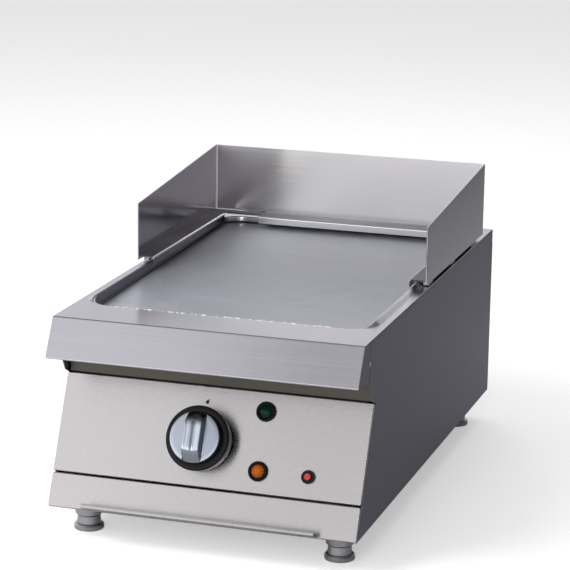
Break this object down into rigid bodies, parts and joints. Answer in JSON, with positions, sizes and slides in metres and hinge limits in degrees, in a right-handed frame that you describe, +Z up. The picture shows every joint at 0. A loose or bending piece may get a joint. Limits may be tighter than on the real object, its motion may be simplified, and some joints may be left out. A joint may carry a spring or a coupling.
{
  "type": "flat top griddle",
  "caption": "Countertop electric flat top griddle with a sunk sloping plate, lift-off three-sided splash guard, thermostat knob, pilot lamps and grease drawer.",
  "frame": {"origin": "on the counter, under the centre of the bounding box", "axes": "+Z up, +Y from the cook towards the back, +X to the cook's right"},
  "size_m": [0.4, 0.71, 0.387],
  "materials": {
    "deck_steel": "satin, brushed lengthways",
    "plate_steel": "ground satin",
    "guard_steel": "fine brushed",
    "side_steel": "satin grey",
    "panel_steel": "fine brushed",
    "hidden_steel": "mill finish",
    "element_steel": "heat-tinted",
    "insulation": "fibrous",
    "copper": "drawn",
    "black_plastic": "semi-gloss",
    "chrome": "polished satin",
    "green_lens": "gloss translucent",
    "orange_lens": "gloss translucent",
    "red_plastic": "semi-gloss",
    "screw_steel": "bright",
    "foot_steel": "satin turned",
    "ceramic_white": "matte",
    "loom_sleeve": "braided sleeve"
  },
  "bodies": {
    "chassis": {"base_panel": "hidden_steel", "cable_gland": "black_plastic", "clamp_studs": "hidden_steel", "contactor": "black_plastic", "control_panel": "panel_steel", "cooking_plate": "plate_steel", "dial_index": "black_plastic", "drain_pipe": "hidden_steel", "drawer_runner_left": "hidden_steel", "drawer_runner_right": "hidden_steel", "earth_stud": "screw_steel", "element_clamps": "hidden_steel", "gland_nut": "black_plastic", "green_lamp_bezel": "black_plastic", "green_lamp_body": "black_plastic", "green_lamp_lens": "green_lens", "heat_shield": "hidden_steel", "heating_element_centre": "element_steel", "heating_element_left": "element_steel", "heating_element_right": "element_steel", "insulation_slab": "insulation", "leg_screws": "screw_steel", "leg_sleeves": "foot_steel", "orange_lamp_bezel": "black_plastic", "orange_lamp_body": "black_plastic", "orange_lamp_lens": "orange_lens", "plate_support_left": "hidden_steel", "plate_support_right": "hidden_steel", "rear_panel": "hidden_steel", "rear_screws": "screw_steel", "recess_panel": "hidden_steel", "reset_bushing": "black_plastic", "safety_bulb": "copper", "safety_capillary": "copper", "safety_thermostat": "black_plastic", "side_panel_left": "side_steel", "side_panel_right": "side_steel", "side_screws": "screw_steel", "terminal_block": "ceramic_white", "thermostat_body": "black_plastic", "thermostat_bulb": "copper", "thermostat_capillary": "copper", "top_deck": "deck_steel", "wiring_loom": "loom_sleeve"},
    "knob": {"knob_skirt": "black_plastic", "knob_cap": "chrome", "knob_shaft": "hidden_steel"},
    "grease_drawer": {"grease_tray": "hidden_steel", "drawer_front": "panel_steel"},
    "splash_guard": {"guard_back": "guard_steel", "guard_left": "guard_steel", "guard_right": "guard_steel", "guard_saddles": "guard_steel"},
    "reset_button": {"reset_button": "red_plastic"},
    "foot_front_left": {"foot_front_left": "foot_steel"},
    "foot_front_right": {"foot_front_right": "foot_steel"},
    "foot_rear_left": {"foot_rear_left": "foot_steel"},
    "foot_rear_right": {"foot_rear_right": "foot_steel"}
  },
  "joints": [
    {"name": "knob_turn", "type": "hinge", "parent": "chassis", "child": "knob", "pos_m": [-0.01, -0.29868, 0.1344], "axis": [0, 0.9143, -0.4051], "range_deg": [0, 270]},
    {"name": "drawer_slide", "type": "slide", "parent": "chassis", "child": "grease_drawer", "axis": [0, -1, 0], "range_m": [0, 0.26]},
    {"name": "guard_lift", "type": "slide", "parent": "chassis", "child": "splash_guard", "axis": [0, 0, 1], "range_m": [0, 0.06]},
    {"name": "reset_press", "type": "slide", "parent": "chassis", "child": "reset_button", "axis": [0, 0.9143, -0.4051], "range_m": [0, 0.003], "stiffness_N_per_m": 600, "springref_m": -0.002},
    {"name": "foot_front_left_turn", "type": "hinge", "parent": "chassis", "child": "foot_front_left", "pos_m": [-0.165, -0.289, 0.02], "axis": [0, 0, 1], "continuous": true},
    {"name": "foot_front_right_turn", "type": "hinge", "parent": "chassis", "child": "foot_front_right", "pos_m": [0.165, -0.289, 0.02], "axis": [0, 0, 1], "continuous": true},
    {"name": "foot_rear_left_turn", "type": "hinge", "parent": "chassis", "child": "foot_rear_left", "pos_m": [-0.165, 0.301, 0.02], "axis": [0, 0, 1], "continuous": true},
    {"name": "foot_rear_right_turn", "type": "hinge", "parent": "chassis", "child": "foot_rear_right", "pos_m": [0.165, 0.301, 0.02], "axis": [0, 0, 1], "continuous": true}
  ]
}
